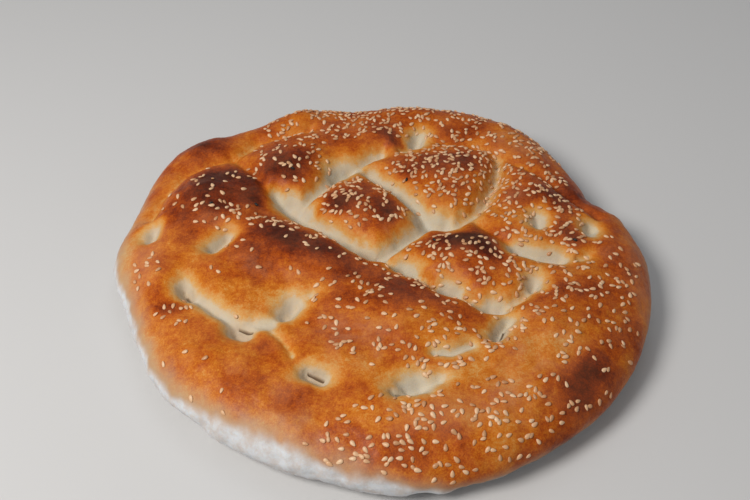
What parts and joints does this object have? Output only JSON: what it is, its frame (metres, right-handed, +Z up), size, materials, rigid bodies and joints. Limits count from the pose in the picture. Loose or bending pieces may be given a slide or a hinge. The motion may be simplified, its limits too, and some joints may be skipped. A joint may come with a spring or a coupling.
{
  "type": "seeded round flatbread",
  "caption": "Round leavened flatbread with a puffed rim, a hand-pressed lattice of troughs and dimples in its golden crust, and a flat pale underside.",
  "frame": {"origin": "centre of the flat underside, on the surface that the bread rests on", "axes": "+Z up out of the crust; -Y is the front of the loaf, where its pale side shows most; +X to the right of that"},
  "size_m": [0.2812, 0.2788, 0.0402],
  "materials": {
    "crust": "satin",
    "sesame_seed": "satin",
    "nigella_seed": "matte"
  },
  "bodies": {
    "root": {"loaf": "crust"}
  },
  "joints": []
}
